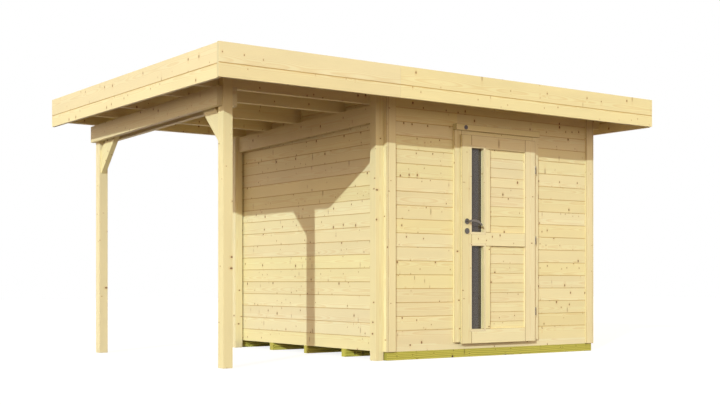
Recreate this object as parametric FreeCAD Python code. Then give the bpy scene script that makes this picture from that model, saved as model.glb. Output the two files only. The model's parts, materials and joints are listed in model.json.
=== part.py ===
"""Garden house with a flat roof that runs on over an open canopy.

Millimetres, +Z up, +X along the front, +Y from the front to the back.
The house is drawn from the outer corner of its front and left walls, at ground level.
Each piece is moved at the end, so that the origin is the middle of the roof's plan on the ground.
"""
import FreeCAD, Part
import os
from FreeCAD import Vector

# Room: four walls of tongue-and-groove boards
room_width = 2390.0
room_depth = 2450.0
wall_thickness = 28.0
board_cover = 115.0

# Foundation beams and floor
foundation_height = 70.0
foundation_width = 58.0
foundation_count = 5
floor_thickness = 19.0

# Roof: boards on rafters, falling to the back
wall_over_door_frame = 311.0
roof_fall = 0.0202
roof_board_thickness = 18.0
membrane_thickness = 3.0
front_overhang = 478.0
rear_overhang = 202.0
right_overhang = 230.0

# Rafters and beams, all of one section
beam_thickness = 45.0
beam_height = 145.0
rafter_gaps = (442.0, 655.0, 480.0)

# Canopy and its posts
post_size = 80.0
post_setback = 28.0
rear_post_setback = 26.0
canopy_span = 1325.0
canopy_overhang = 255.0
beam_shift = 12.0

# Braces between the outer posts and the double beam
brace_reach = 285.0
brace_width = 145.0
brace_bearing = 90.0

# Fascia boards round the roof
fascia_thickness = 28.0
fascia_below_roof = 188.0
lower_fascia_height = 99.0
upper_fascia_height = 146.0
side_fascia_drop = 5.0
fascia_joint_x = -248.0
fascia_joint_gap = 1.0
eaves_board_height = 95.0

# Corner trims
trim_thickness = 15.0
trim_width = 80.0

# Door frame, a channel that grips the ends of the wall boards
door_middle_x = 1190.0
leaf_width = 860.0
leaf_height = 1788.0
leaf_bottom = 115.0
leaf_overlap = 15.0
leaf_clearance = 5.0
casing_thickness = 24.0
casing_width = 75.0
lining_thickness = 28.0
head_casing_height = 50.0
threshold_height = 18.0
threshold_fall = 4.0
drip_board_height = 52.0
drip_board_depth = 46.0

# Door leaf: a front flange that laps over the casing, and a thicker part that fills the opening
flange_thickness = 20.0
rebate_thickness = 24.0
rebate_clearance = 6.0
lock_stile = 109.0
window_width = 140.0
mullion = 74.0
hinge_stile = 122.0
top_rail = 109.0
middle_rail = 119.0
middle_rail_bottom = 839.0
bottom_rail = 124.0
panel_recess = 18.0
panel_thickness = 16.0
glass_recess = 36.0
glass_thickness = 4.0
groove_depth = 8.0

# Door fittings
hinge_heights = (267.0, 900.0, 1529.0)
hinge_axis_offset = 8.0
hinge_axis_depth = 6.0
knuckle_radius = 7.0
knuckle_length = 35.0
knuckle_gap = 0.3
hinge_pin_radius = 4.0
hinge_pin_clearance = 0.05
hinge_pin_length = 30.0
hinge_arm_radius = 4.0
hinge_arm_inset = 30.0
backset = 55.0
handle_height = 1046.0
lock_height = 964.0
rosette_radius = 25.0
rosette_thickness = 8.0
rosette_chamfer = 1.5
neck_radius = 9.0
neck_clearance = 0.3
spindle_size = 8.0
lever_reach = 42.0
lever_length = 135.0
lever_crown = 52.0
lever_rise = 8.0
lever_drop = 32.0
lever_thickness = 13.0
lever_root = 16.0
lever_tip = 12.0
lever_chamfer = 3.0
cylinder_radius = 8.5
cylinder_projection = 3.0
badge_radius = 19.0
badge_thickness = 4.0
badge_inset = 108.0

# Lines that several pieces share
right_roof_edge = room_width + right_overhang
canopy_outer_x = -trim_thickness - post_size - canopy_span - post_size
left_roof_edge = canopy_outer_x - beam_thickness - canopy_overhang
rear_roof_edge = room_depth + rear_overhang
leaf_left = door_middle_x - leaf_width / 2
leaf_right = door_middle_x + leaf_width / 2
leaf_top = leaf_bottom + leaf_height
flange_back = -casing_thickness - leaf_clearance
leaf_front = flange_back - flange_thickness
leaf_back = flange_back + rebate_thickness
clear_left = leaf_left + leaf_overlap
clear_right = leaf_right - leaf_overlap
clear_top = leaf_top - leaf_overlap
frame_top = clear_top + head_casing_height
roof_height = frame_top + wall_over_door_frame
sill_top = foundation_height + board_cover / 2
threshold_top = sill_top + threshold_height
front_post_y = post_setback
rear_post_y = room_depth - rear_post_setback - post_size
hinge_x = leaf_right + hinge_axis_offset
hinge_y = leaf_front + hinge_axis_depth
handle_x = leaf_left + backset


def block(x, y, z):
    """A board or post with square ends, between pairs of limits along each axis."""
    size = (x[1] - x[0], y[1] - y[0], z[1] - z[0])
    return Part.makeBox(*size, Vector(x[0], y[0], z[0]))


def extruded(points, direction):
    """A flat outline, pushed along a direction."""
    return Part.Face(Part.makePolygon(points + points[:1])).extrude(direction)


def roof_underside(y):
    """Height of the roof boards' underside at a depth y."""
    return roof_height - roof_fall * y


def side_profile(outline, x):
    """An outline of (y, z) points, extruded along X between two limits."""
    points = [Vector(x[0], y, z) for y, z in outline]
    return extruded(points, Vector(x[1] - x[0], 0, 0))


def plan_profile(outline, z):
    """An outline of (x, y) points, extruded along Z between two limits."""
    points = [Vector(px, py, z[0]) for px, py in outline]
    return extruded(points, Vector(0, 0, z[1] - z[0]))


def up_to_roof(x, y, bottom):
    """An upright piece with a level foot, cut at the roof's slope."""
    roof_line = [(depth, roof_underside(depth)) for depth in (y[1], y[0])]
    return side_profile([(y[0], bottom), (y[1], bottom)] + roof_line, x)


def with_slope(x, y, offset, height):
    """A layer or beam that follows the slope, its lower face a given offset from the roof boards."""
    low = [(depth, roof_underside(depth) + offset) for depth in y]
    high = [(depth, bottom + height) for depth, bottom in reversed(low)]
    return side_profile(low + high, x)


def cylinder(radius, start, direction, length):
    return Part.makeCylinder(radius, length, start, direction)


def spread(first, last, count):
    """Evenly spaced places from first to last."""
    return [first + (last - first) * i / (count - 1) for i in range(count)]


# Foundation and floor
def foundation_beams():
    places = spread(0.0, room_depth - foundation_width, foundation_count)
    height = (0, foundation_height)
    return [block((0, room_width), (y, y + foundation_width), height) for y in places]


def floor_deck():
    inside = wall_thickness
    top = foundation_height + floor_thickness
    return block((inside, room_width - inside), (inside, room_depth - inside), (foundation_height, top))


# Roof structure
def rafter_places():
    """Front faces of the rafters: behind the front posts, three between, and before the rear posts."""
    first = front_post_y + post_size
    last = rear_post_y - beam_thickness
    between = []
    face = first
    for gap in rafter_gaps:
        face += beam_thickness + gap
        between.append(face)
    return [first] + between + [last]


def rafter(y):
    return with_slope((left_roof_edge, right_roof_edge), (y, y + beam_thickness), -beam_height, beam_height)


def canopy_beam(x, y):
    """A beam under the rafters, along the canopy's depth."""
    return with_slope((x, x + beam_thickness), y, -2 * beam_height, beam_height)


def roof_layer(offset, thickness, rear_edge):
    return with_slope((left_roof_edge, right_roof_edge), (-front_overhang, rear_edge), offset, thickness)


def brace(corner_y, facing):
    """A 45 degree brace, mitred to the post and let in between the two planks of the double beam."""
    beam_bottom = roof_underside(corner_y) - 2 * beam_height
    foot = beam_bottom - brace_reach
    slant = brace_width * 2 ** 0.5
    top = beam_bottom + brace_bearing
    outline = [
        (corner_y, foot),
        (corner_y + facing * (top - foot), top),
        (corner_y + facing * (top - foot - slant), top),
        (corner_y, foot + slant),
    ]
    middle = canopy_outer_x + post_size / 2
    return side_profile(outline, (middle - beam_thickness / 2, middle + beam_thickness / 2))


def posts():
    wall_post_x = (-trim_thickness - post_size, -trim_thickness)
    canopy_post_x = (canopy_outer_x, canopy_outer_x + post_size)
    front = (front_post_y, front_post_y + post_size)
    rear = (rear_post_y, rear_post_y + post_size)
    return {
        "wall_post_front": up_to_roof(wall_post_x, front, 0),
        "wall_post_back": up_to_roof(wall_post_x, rear, 0),
        "canopy_post_front": up_to_roof(canopy_post_x, front, 0),
        "canopy_post_back": up_to_roof(canopy_post_x, rear, 0),
    }


def beams():
    along = (front_post_y + beam_shift, rear_post_y + post_size + beam_shift)
    between_posts = (front_post_y + post_size, rear_post_y)
    return {
        "canopy_beam_outer": canopy_beam(canopy_outer_x - beam_thickness, along),
        "canopy_beam_inner": canopy_beam(canopy_outer_x + post_size, along),
        "wall_beam": canopy_beam(-trim_thickness - beam_thickness, between_posts),
    }


# Walls
def side_wall(x, rafters):
    """A side wall between the front and back walls, notched for the rafters that lie on it."""
    depth = (wall_thickness, room_depth - wall_thickness)
    wall = up_to_roof((x, x + wall_thickness), depth, foundation_height)
    for timber in rafters:
        wall = wall.cut(timber)
    return wall


def front_wall():
    """The front wall in four pieces round the door frame, with a plain board below it."""
    depth = (0, wall_thickness)
    left_end = clear_left - lining_thickness
    right_end = clear_right + lining_thickness
    head_groove = clear_top + lining_thickness
    over_door = up_to_roof((left_end, right_end), depth, head_groove)
    for x in ((left_end, clear_left), (clear_right, right_end)):
        over_door = over_door.cut(block(x, depth, (head_groove, frame_top)))
    return {
        "sill_board": block((0, room_width), depth, (foundation_height, sill_top)),
        "front_wall_left": up_to_roof((0, left_end), depth, sill_top),
        "front_wall_right": up_to_roof((right_end, room_width), depth, sill_top),
        "front_wall_over_door": over_door,
    }


def corner_trim(corner_x, corner_y, out_x, out_y):
    """Two boards that meet at a corner and cover the ends of the wall boards."""
    face_x = corner_x + out_x * trim_thickness
    face_y = corner_y + out_y * trim_thickness
    along_x = corner_x - out_x * trim_width
    along_y = corner_y - out_y * (trim_width - trim_thickness)
    front_board = sorted((face_x, along_x)), sorted((corner_y, face_y))
    side_board = sorted((corner_x, face_x)), sorted((corner_y, along_y))
    return up_to_roof(*front_board, foundation_height).fuse(
        up_to_roof(*side_board, foundation_height)).removeSplitter()


# Door frame
def jamb(clear_edge, outward):
    """A channel that wraps the wall's end: outer casing, lining and inner casing in one profile."""
    far = clear_edge + outward * casing_width
    groove = clear_edge + outward * lining_thickness
    inner_face = wall_thickness + casing_thickness
    outline = [
        (clear_edge, -casing_thickness), (far, -casing_thickness), (far, 0), (groove, 0),
        (groove, wall_thickness), (far, wall_thickness), (far, inner_face), (clear_edge, inner_face),
    ]
    return plan_profile(outline, (sill_top, frame_top))


def head():
    """The same channel across the top, over the wall board above the door."""
    groove = clear_top + lining_thickness
    inner_face = wall_thickness + casing_thickness
    outline = [
        (-casing_thickness, clear_top), (inner_face, clear_top), (inner_face, frame_top),
        (wall_thickness, frame_top), (wall_thickness, groove), (0, groove), (0, frame_top),
        (-casing_thickness, frame_top),
    ]
    return side_profile(outline, (clear_left, clear_right))


def threshold():
    """A low threshold on the board below the door, falling outward."""
    inner_face = wall_thickness + casing_thickness
    outline = [
        (-casing_thickness, sill_top), (inner_face, sill_top), (inner_face, threshold_top),
        (-casing_thickness, threshold_top - threshold_fall),
    ]
    return side_profile(outline, (clear_left, clear_right))


def drip_board():
    """A board as wide as the casing, over the door."""
    across = (clear_left - casing_width, clear_right + casing_width)
    return block(across, (-drip_board_depth, 0), (frame_top, frame_top + drip_board_height))


# Door leaf
def leaf_fields():
    """The four openings of the leaf: two windows and two boarded panels, as (x, z) limits."""
    window = (leaf_left + lock_stile, leaf_left + lock_stile + window_width)
    panel = (window[1] + mullion, leaf_right - hinge_stile)
    middle = leaf_bottom + middle_rail_bottom
    lower = (leaf_bottom + bottom_rail, middle)
    upper = (middle + middle_rail, leaf_top - top_rail)
    return {"windows": [(window, lower), (window, upper)], "panels": [(panel, lower), (panel, upper)]}


def infill(field, recess, thickness):
    """A pane or panel whose edges sit in the frame's groove."""
    x, z = field
    front = leaf_front + recess
    wide = (x[0] - groove_depth, x[1] + groove_depth)
    high = (z[0] - groove_depth, z[1] + groove_depth)
    return block(wide, (front, front + thickness), high)


def leaf_frame(infills, hinge_arms):
    """A rebated frame: the flange laps over the casing, and the part behind it fills the opening."""
    depth = (leaf_front, leaf_back)
    flange = block((leaf_left, leaf_right), (leaf_front, flange_back), (leaf_bottom, leaf_top))
    inside_x = (clear_left + rebate_clearance, clear_right - rebate_clearance)
    inside_z = (threshold_top + rebate_clearance, clear_top - rebate_clearance)
    behind = block(inside_x, (flange_back, leaf_back), inside_z)
    frame = flange.fuse(behind).removeSplitter()
    fields = leaf_fields()
    for x, z in fields["windows"] + fields["panels"]:
        frame = frame.cut(block(x, depth, z))
    for piece in infills + hinge_arms:
        frame = frame.cut(piece)
    bore_start = Vector(handle_x, leaf_front, leaf_bottom + handle_height)
    return frame.cut(cylinder(neck_radius, bore_start, Vector(0, 1, 0), leaf_back - leaf_front))


# Door fittings
def hinge_arms():
    """The pins that screw sideways into the leaf, one for each hinge."""
    arms = []
    length = hinge_axis_offset + hinge_arm_inset
    for height in hinge_heights:
        middle = leaf_bottom + height + knuckle_length / 2
        start = Vector(hinge_x, hinge_y + hinge_arm_radius, middle)
        arms.append(cylinder(hinge_arm_radius, start, Vector(-1, 0, 0), length))
    return arms


def frame_arms():
    """The pins that screw backward into the jamb, one for each hinge."""
    arms = []
    length = -hinge_y - casing_thickness + hinge_arm_inset
    for height in hinge_heights:
        middle = leaf_bottom + height - knuckle_length / 2
        start = Vector(hinge_x, hinge_y, middle)
        arms.append(cylinder(hinge_arm_radius, start, Vector(0, 1, 0), length))
    return arms


def leaf_hinges(arms):
    """Upper knuckles, bored for the pin, each with its arm."""
    hinges = []
    for height, arm in zip(hinge_heights, arms):
        base = Vector(hinge_x, hinge_y, leaf_bottom + height + knuckle_gap)
        knuckle = cylinder(knuckle_radius, base, Vector(0, 0, 1), knuckle_length - knuckle_gap)
        bore = cylinder(hinge_pin_radius + hinge_pin_clearance, base, Vector(0, 0, 1),
                        hinge_pin_length)
        hinges.append(knuckle.fuse(arm).cut(bore))
    return Part.makeCompound(hinges)


def frame_hinges(arms):
    """Lower knuckles with the standing pin, each with its arm."""
    hinges = []
    for height, arm in zip(hinge_heights, arms):
        base = Vector(hinge_x, hinge_y, leaf_bottom + height - knuckle_length)
        knuckle = cylinder(knuckle_radius, base, Vector(0, 0, 1), knuckle_length)
        pin_top = knuckle_length + hinge_pin_length - knuckle_gap
        pin = cylinder(hinge_pin_radius, base, Vector(0, 0, 1), pin_top)
        hinges.append(knuckle.fuse(pin).fuse(arm).removeSplitter())
    return Part.makeCompound(hinges)


def both_faces():
    """For each face of the leaf: its y and the direction out of it."""
    return ((leaf_front, -1), (leaf_back, 1))


def rosette(start, outward):
    """A round plate with a chamfered rim."""
    base = cylinder(rosette_radius, start, outward, rosette_thickness - rosette_chamfer)
    rim = Part.makeCone(rosette_radius, rosette_radius - rosette_chamfer, rosette_chamfer,
                        start + outward * (rosette_thickness - rosette_chamfer), outward)
    return base.fuse(rim).removeSplitter()


def rosettes():
    """Round plates for the handle and the lock, on both faces of the leaf."""
    plates = []
    for face, out in both_faces():
        outward = Vector(0, out, 0)
        handle_start = Vector(handle_x, face, leaf_bottom + handle_height)
        handle_plate = rosette(handle_start, outward)
        hole = cylinder(neck_radius + neck_clearance, handle_start, outward, rosette_thickness)
        lock_start = Vector(handle_x, face, leaf_bottom + lock_height)
        lock_plate = rosette(lock_start, outward)
        lock = cylinder(cylinder_radius, lock_start, outward, rosette_thickness + cylinder_projection)
        plates.append(handle_plate.cut(hole))
        plates.append(lock_plate.fuse(lock).removeSplitter())
    return Part.makeCompound(plates)


def lever(face, out):
    """A neck and a lever that arches away from it, drops and narrows to a round tip."""
    height = leaf_bottom + handle_height
    reach = rosette_thickness + lever_reach
    neck = cylinder(neck_radius, Vector(handle_x, face, height), Vector(0, out, 0), reach)
    back = face + out * (reach - lever_thickness)
    bends = ((0, 0), (lever_crown, lever_rise), (lever_length, -lever_drop))
    middle_line = Part.Arc(*[Vector(handle_x + x, back, height + z) for x, z in bends])
    first, last = middle_line.FirstParameter, middle_line.LastParameter

    def edge(side):
        """The grip's upper or lower edge, half its width from the middle line."""
        points = []
        for share, width in ((0, lever_root), (0.5, (lever_root + lever_tip) / 2), (1, lever_tip)):
            at = first + (last - first) * share
            along = middle_line.tangent(at)[0]
            points.append(middle_line.value(at) + Vector(-along.z, 0, along.x) * (side * width / 2))
        return Part.Arc(*points)

    upper, lower = edge(1), edge(-1)
    tip_middle = middle_line.value(last) + middle_line.tangent(last)[0] * (lever_tip / 2)
    tip = Part.Arc(upper.EndPoint, tip_middle, lower.EndPoint)
    root = Part.LineSegment(lower.StartPoint, upper.StartPoint)
    outline = Part.Wire(Part.__sortEdges__([curve.toShape() for curve in (upper, tip, lower, root)]))
    grip = Part.Face(outline).extrude(Vector(0, out * lever_thickness, 0))
    rims = [curve for curve in grip.Edges if curve.BoundBox.YLength < lever_chamfer]
    return neck.fuse(grip.makeChamfer(lever_chamfer, rims)).removeSplitter()


def door_handle():
    """Both levers on one square spindle through the leaf."""
    half = spindle_size / 2
    height = leaf_bottom + handle_height
    across = (handle_x - half, handle_x + half)
    handle = block(across, (leaf_front, leaf_back), (height - half, height + half))
    for face, out in both_faces():
        handle = handle.fuse(lever(face, out))
    return handle.removeSplitter()


def badge():
    """A plain round disc on the drip board."""
    left = clear_left - casing_width
    start = Vector(left + badge_inset, -drip_board_depth, frame_top + drip_board_height / 2)
    return cylinder(badge_radius, start, Vector(0, -1, 0), badge_thickness)


# Fascia
def front_fascia(z):
    """A fascia board in two lengths, with a fine butt joint."""
    half_gap = fascia_joint_gap / 2
    depth = (-front_overhang - fascia_thickness, -front_overhang)
    left = (left_roof_edge - fascia_thickness, fascia_joint_x - half_gap)
    right = (fascia_joint_x + half_gap, right_roof_edge + fascia_thickness)
    return Part.makeCompound([block(left, depth, z), block(right, depth, z)])


def side_fascia(x, z):
    return block((x, x + fascia_thickness), (-front_overhang, rear_roof_edge), z)


def eaves_board():
    rear = rear_roof_edge - fascia_thickness
    top = roof_board_thickness + membrane_thickness
    return with_slope((left_roof_edge, right_roof_edge), (rear, rear_roof_edge),
                      top - eaves_board_height, eaves_board_height)


def house():
    """Every piece of the house, by name."""
    pieces = {}
    for number, beam in enumerate(foundation_beams(), 1):
        pieces[f"foundation_beam_{number}"] = beam
    pieces["floor_deck"] = floor_deck()

    rafters = [rafter(y) for y in rafter_places()]
    for number, timber in enumerate(rafters, 1):
        pieces[f"rafter_{number}"] = timber
    pieces["front_edge_rafter"] = rafter(-front_overhang)

    pieces.update(front_wall())
    pieces["left_wall"] = side_wall(0, rafters)
    pieces["right_wall"] = side_wall(room_width - wall_thickness, rafters)
    back = (room_depth - wall_thickness, room_depth)
    pieces["back_wall"] = up_to_roof((0, room_width), back, foundation_height)
    pieces["corner_trim_front_left"] = corner_trim(0, 0, -1, -1)
    pieces["corner_trim_front_right"] = corner_trim(room_width, 0, 1, -1)
    pieces["corner_trim_back_left"] = corner_trim(0, room_depth, -1, 1)
    pieces["corner_trim_back_right"] = corner_trim(room_width, room_depth, 1, 1)

    pieces.update(posts())
    pieces.update(beams())
    pieces["brace_front"] = brace(front_post_y + post_size, 1)
    pieces["brace_back"] = brace(rear_post_y, -1)

    boards_end = rear_roof_edge - fascia_thickness
    pieces["roof_boards"] = roof_layer(0, roof_board_thickness, boards_end)
    pieces["roof_membrane"] = roof_layer(roof_board_thickness, membrane_thickness, boards_end)
    pieces["rear_eaves_board"] = eaves_board()
    fascia_bottom = roof_height - fascia_below_roof
    fascia_seam = fascia_bottom + lower_fascia_height
    lower = (fascia_bottom, fascia_seam)
    upper = (fascia_seam, fascia_seam + upper_fascia_height)
    for name, z in (("upper", upper), ("lower", lower)):
        side_z = (z[0] - side_fascia_drop, z[1] - side_fascia_drop)
        pieces[f"front_fascia_{name}"] = front_fascia(z)
        pieces[f"left_fascia_{name}"] = side_fascia(left_roof_edge - fascia_thickness, side_z)
        pieces[f"right_fascia_{name}"] = side_fascia(right_roof_edge, side_z)

    jamb_arms = frame_arms()
    right_jamb = jamb(clear_right, 1)
    for arm in jamb_arms:
        right_jamb = right_jamb.cut(arm)
    pieces["door_jamb_left"] = jamb(clear_left, -1)
    pieces["door_jamb_right"] = right_jamb
    pieces["door_head"] = head()
    pieces["door_threshold"] = threshold()
    pieces["door_drip_board"] = drip_board()
    pieces["badge_disc"] = badge()

    fields = leaf_fields()
    panes = [infill(field, glass_recess, glass_thickness) for field in fields["windows"]]
    panels = [infill(field, panel_recess, panel_thickness) for field in fields["panels"]]
    leaf_arms = hinge_arms()
    pieces["door_leaf_frame"] = leaf_frame(panes + panels, leaf_arms)
    pieces["door_glass"] = Part.makeCompound(panes)
    pieces["door_panels"] = Part.makeCompound(panels)
    pieces["door_hinges_leaf"] = leaf_hinges(leaf_arms)
    pieces["door_hinges_frame"] = frame_hinges(jamb_arms)
    pieces["door_rosettes"] = rosettes()
    pieces["door_handle"] = door_handle()
    return pieces


def main():
    os.makedirs("parts", exist_ok=True)
    middle_x = (left_roof_edge + right_roof_edge) / 2
    middle_y = (-front_overhang - fascia_thickness + rear_roof_edge) / 2
    pieces = house()
    for name, shape in pieces.items():
        placed = shape.copy()
        placed.translate(Vector(-middle_x, -middle_y, 0))
        placed.exportStep(f"parts/{name}.step")
        solids = [round(solid.Volume / 1e6, 3) for solid in placed.Solids]
        print(name, "valid" if placed.isValid() else "NOT VALID", "litres", solids)
    print(len(pieces), "pieces; origin at", middle_x, middle_y, "from the room's front left corner")
    print("hinge axis", hinge_x - middle_x, hinge_y - middle_y)
    print("handle axis", handle_x - middle_x, leaf_front - middle_y, leaf_bottom + handle_height)


main()
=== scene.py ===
# %% [markdown]
# A garden house in fresh spruce
#
# The object is a small boarded house whose flat roof runs on over an open canopy.
# Its construction comes as a fixed frame of plain solids. This notebook dresses that frame:
# each solid timber becomes boards with joints, eased edges, grain and knots.
# Every cell first says what the real thing is, how it could be made, and why one way was chosen.

# %% Load the frame
import json
import math
import random

import bmesh
import bpy
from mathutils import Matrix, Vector


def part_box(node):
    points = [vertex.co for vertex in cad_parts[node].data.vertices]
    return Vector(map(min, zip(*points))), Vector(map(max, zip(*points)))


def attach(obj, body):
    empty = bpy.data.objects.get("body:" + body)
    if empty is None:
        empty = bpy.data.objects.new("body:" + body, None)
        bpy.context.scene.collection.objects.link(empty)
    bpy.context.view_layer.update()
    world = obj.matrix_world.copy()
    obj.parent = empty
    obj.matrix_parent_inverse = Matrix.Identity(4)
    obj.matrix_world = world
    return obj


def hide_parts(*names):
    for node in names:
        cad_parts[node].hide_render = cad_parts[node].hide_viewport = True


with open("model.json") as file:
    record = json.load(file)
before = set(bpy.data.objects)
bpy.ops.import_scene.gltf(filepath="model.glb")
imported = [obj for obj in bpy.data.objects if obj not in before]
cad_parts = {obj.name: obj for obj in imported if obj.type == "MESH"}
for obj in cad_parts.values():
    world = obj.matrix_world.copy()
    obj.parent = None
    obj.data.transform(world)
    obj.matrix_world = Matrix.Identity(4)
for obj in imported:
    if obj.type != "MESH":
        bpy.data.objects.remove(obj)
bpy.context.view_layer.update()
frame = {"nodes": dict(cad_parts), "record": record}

print("nodes in the frame:", len(frame["nodes"]))

# %% [markdown]
# The camera
#
# The photograph was taken from the front left with a level camera, so all upright edges stay upright.
# Tilting the camera would make them lean. A level camera with a vertical shift keeps them parallel,
# the way an architect's lens does, and that is what is used here.

# %% Camera
camera_place = Vector((-6.0535, -8.5949, 0.6496))
camera_turn = math.radians(35.532)
camera_lens = 57.574
camera_shift = 0.10934

lens = bpy.data.cameras.new("camera")
lens.lens = camera_lens
lens.shift_y = camera_shift
camera = bpy.data.objects.new("camera", lens)
camera.location = camera_place
camera.rotation_euler = (math.radians(90), 0, -camera_turn)
bpy.context.scene.collection.objects.link(camera)
bpy.context.scene.camera = camera
bpy.context.scene.view_settings.view_transform = "Standard"
print("camera height:", camera_place.z)

# %% [markdown]
# Node helpers
#
# Materials are drawn as node graphs. Building them by hand in the editor is quick to try but slow to
# read, so a small class wraps the three things a graph needs: add a node, set a socket, link a socket.

# %% Graph class
class Graph:
    """Adds nodes to a tree. A value that is a socket is linked, and any other value is set."""

    def __init__(self, tree):
        self.tree = tree

    def node(self, kind, inputs=None, **settings):
        made = self.tree.nodes.new(kind)
        for key, value in settings.items():
            setattr(made, key, value)
        for key, value in (inputs or {}).items():
            self.feed(made.inputs[key], value)
        return made

    def feed(self, socket, value):
        if isinstance(value, bpy.types.NodeSocket):
            self.tree.links.new(value, socket)
        else:
            socket.default_value = value

    def math(self, operation, *values):
        return self.node("ShaderNodeMath", dict(enumerate(values)), operation=operation).outputs[0]

    def vector(self, x=0.0, y=0.0, z=0.0):
        return self.node("ShaderNodeCombineXYZ", {"X": x, "Y": y, "Z": z}).outputs[0]

    def split(self, vector):
        return self.node("ShaderNodeSeparateXYZ", {0: vector}).outputs

    def smooth(self, value, start, end):
        """0 at start and 1 at end, with a soft step between them."""
        inputs = {"Value": value, "From Min": start, "From Max": end}
        return self.node("ShaderNodeMapRange", inputs, interpolation_type="SMOOTHSTEP").outputs[0]

    def noise(self, vector, scale=1.0, detail=2.0, roughness=0.5):
        inputs = {"Vector": vector, "Scale": scale, "Detail": detail, "Roughness": roughness}
        return self.node("ShaderNodeTexNoise", inputs).outputs["Fac"]

    def mix(self, factor, first, second, blend="MIX"):
        made = self.node("ShaderNodeMix", data_type="RGBA", blend_type=blend)
        self.feed(made.inputs[0], factor)
        self.feed(made.inputs[6], first)
        self.feed(made.inputs[7], second)
        return made.outputs[2]


# %% [markdown]
# Floor, backdrop and light
#
# The house stands on plain white. Brightening the lamps until the floor burns out would also bleach the
# wood, so the floor and the world turn white only for rays that come straight from the camera, through
# glass or off a gloss. The floor's white is part paint and mostly glow, so the house still leaves a soft
# shadow on it. The fill is stronger near the horizon, as pale studio walls would make it, and that light
# reaches in under the canopy.

# %% World and floor
def rgb(red, green, blue):
    return (red, green, blue, 1.0)


WHITE = rgb(1, 1, 1)
fill_low = 1.85
fill_high = 0.78
fill_falls = (0.18, 0.45)
fill_colour = rgb(1.0, 0.82, 0.64)
floor_size = 60.0
floor_gap = 0.0005
floor_paint = 0.26
floor_glow = 0.84
floor_bounce = rgb(0.13, 0.08, 0.08)


def by_ray(graph, lighting, shown):
    """One shader for the rays that light the object, and another for camera, glossy and transmitted ones."""
    path = graph.node("ShaderNodeLightPath").outputs
    seen = graph.math("MAXIMUM", path["Is Camera Ray"], path["Is Glossy Ray"])
    seen = graph.math("MAXIMUM", seen, path["Is Transmission Ray"])
    return graph.node("ShaderNodeMixShader", {0: seen, 1: lighting, 2: shown}).outputs[0]


def build_world():
    world = bpy.data.worlds.new("studio")
    world.use_nodes = True
    world.node_tree.nodes.clear()
    graph = Graph(world.node_tree)
    height = graph.split(graph.node("ShaderNodeTexCoord").outputs["Generated"])[2]
    falling = graph.smooth(height, *fill_falls)
    strength = graph.math("MULTIPLY_ADD", falling, fill_high - fill_low, fill_low)
    fill = graph.node("ShaderNodeBackground", {"Color": fill_colour, "Strength": strength}).outputs[0]
    white = graph.node("ShaderNodeBackground", {"Color": WHITE, "Strength": 1.0}).outputs[0]
    graph.node("ShaderNodeOutputWorld", {"Surface": by_ray(graph, fill, white)})
    bpy.context.scene.world = world


def floor_material():
    material = bpy.data.materials.new("studio floor")
    material.use_nodes = True
    material.node_tree.nodes.clear()
    graph = Graph(material.node_tree)
    matt = graph.node("ShaderNodeBsdfDiffuse", {"Color": floor_bounce}).outputs[0]
    paint = graph.node("ShaderNodeBsdfDiffuse", {"Color": rgb(floor_paint, floor_paint, floor_paint)})
    glow = graph.node("ShaderNodeEmission", {"Color": WHITE, "Strength": floor_glow})
    white = graph.node("ShaderNodeAddShader", {0: paint.outputs[0], 1: glow.outputs[0]}).outputs[0]
    graph.node("ShaderNodeOutputMaterial", {"Surface": by_ray(graph, matt, white)})
    return material


def build_floor():
    mesh = bpy.data.meshes.new("studio_floor")
    half = floor_size / 2
    corners = [(-half, -half, 0), (half, -half, 0), (half, half, 0), (-half, half, 0)]
    mesh.from_pydata(corners, [], [(0, 1, 2, 3)])
    mesh.materials.append(floor_material())
    floor = bpy.data.objects.new("studio_floor", mesh)
    floor.location.z = -floor_gap
    bpy.context.scene.collection.objects.link(floor)


build_world()
build_floor()
print("fill at the horizon and above:", fill_low, fill_high)

# %% [markdown]
# The key light
#
# The key light comes low from the front left, so the left faces are a little brighter than the front
# and the fascia throws a crisp shadow on the walls. A sun lamp gives parallel rays, and its small width
# softens a shadow a little more the further it falls. In the shade only the warm fill is left,
# so the wood turns browner there.

# %% Key light
key_direction = Vector((1.0, 0.736, -0.421))
key_strength = 2.42
key_width = math.radians(0.6)
key_colour = (0.87, 1.0, 1.0)

light = bpy.data.lights.new("key", "SUN")
light.color = key_colour
light.energy = key_strength
light.angle = key_width
key = bpy.data.objects.new("key", light)
key.rotation_euler = key_direction.to_track_quat("-Z", "Y").to_euler()
bpy.context.scene.collection.objects.link(key)
key_height = math.degrees(math.asin(-key_direction.normalized().z))
print("the key light stands", round(key_height, 1), "degrees above the horizon")

# %% [markdown]
# What a board of spruce looks like
#
# A board is a slice through growth rings. Near its middle the cut runs along the rings and shows long
# flames, and towards its edges it crosses them and shows fine lines. A picture of wood would repeat and
# stretch, so the grain is worked out instead, in one shader group that every wood finish shares.
# Two face attributes feed the group. "grain" holds metres along the board, metres across it and a seed
# for the board. "board" holds its tint, whether a face lies in a joint and gets the painted shade of a
# joint, and whether it is sawn end grain.

# %% Shader group helpers
def new_group(name, inputs, outputs):
    """A shader group with named sockets. It returns the group, its graph, its inputs and its outputs."""
    group = bpy.data.node_groups.new(name, "ShaderNodeTree")
    for label, kind, value in inputs:
        socket = group.interface.new_socket(label, in_out="INPUT", socket_type="NodeSocket" + kind)
        if value is not None:
            socket.default_value = value
    for label, kind in outputs:
        group.interface.new_socket(label, in_out="OUTPUT", socket_type="NodeSocket" + kind)
    graph = Graph(group)
    given = graph.node("NodeGroupInput").outputs
    return group, graph, given, graph.node("NodeGroupOutput").inputs


def random_of(graph, seed, factor):
    """A number from 0 to 1 that differs for each seed. Every use has a factor of its own."""
    return graph.math("FRACT", graph.math("MULTIPLY", seed, factor))


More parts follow.
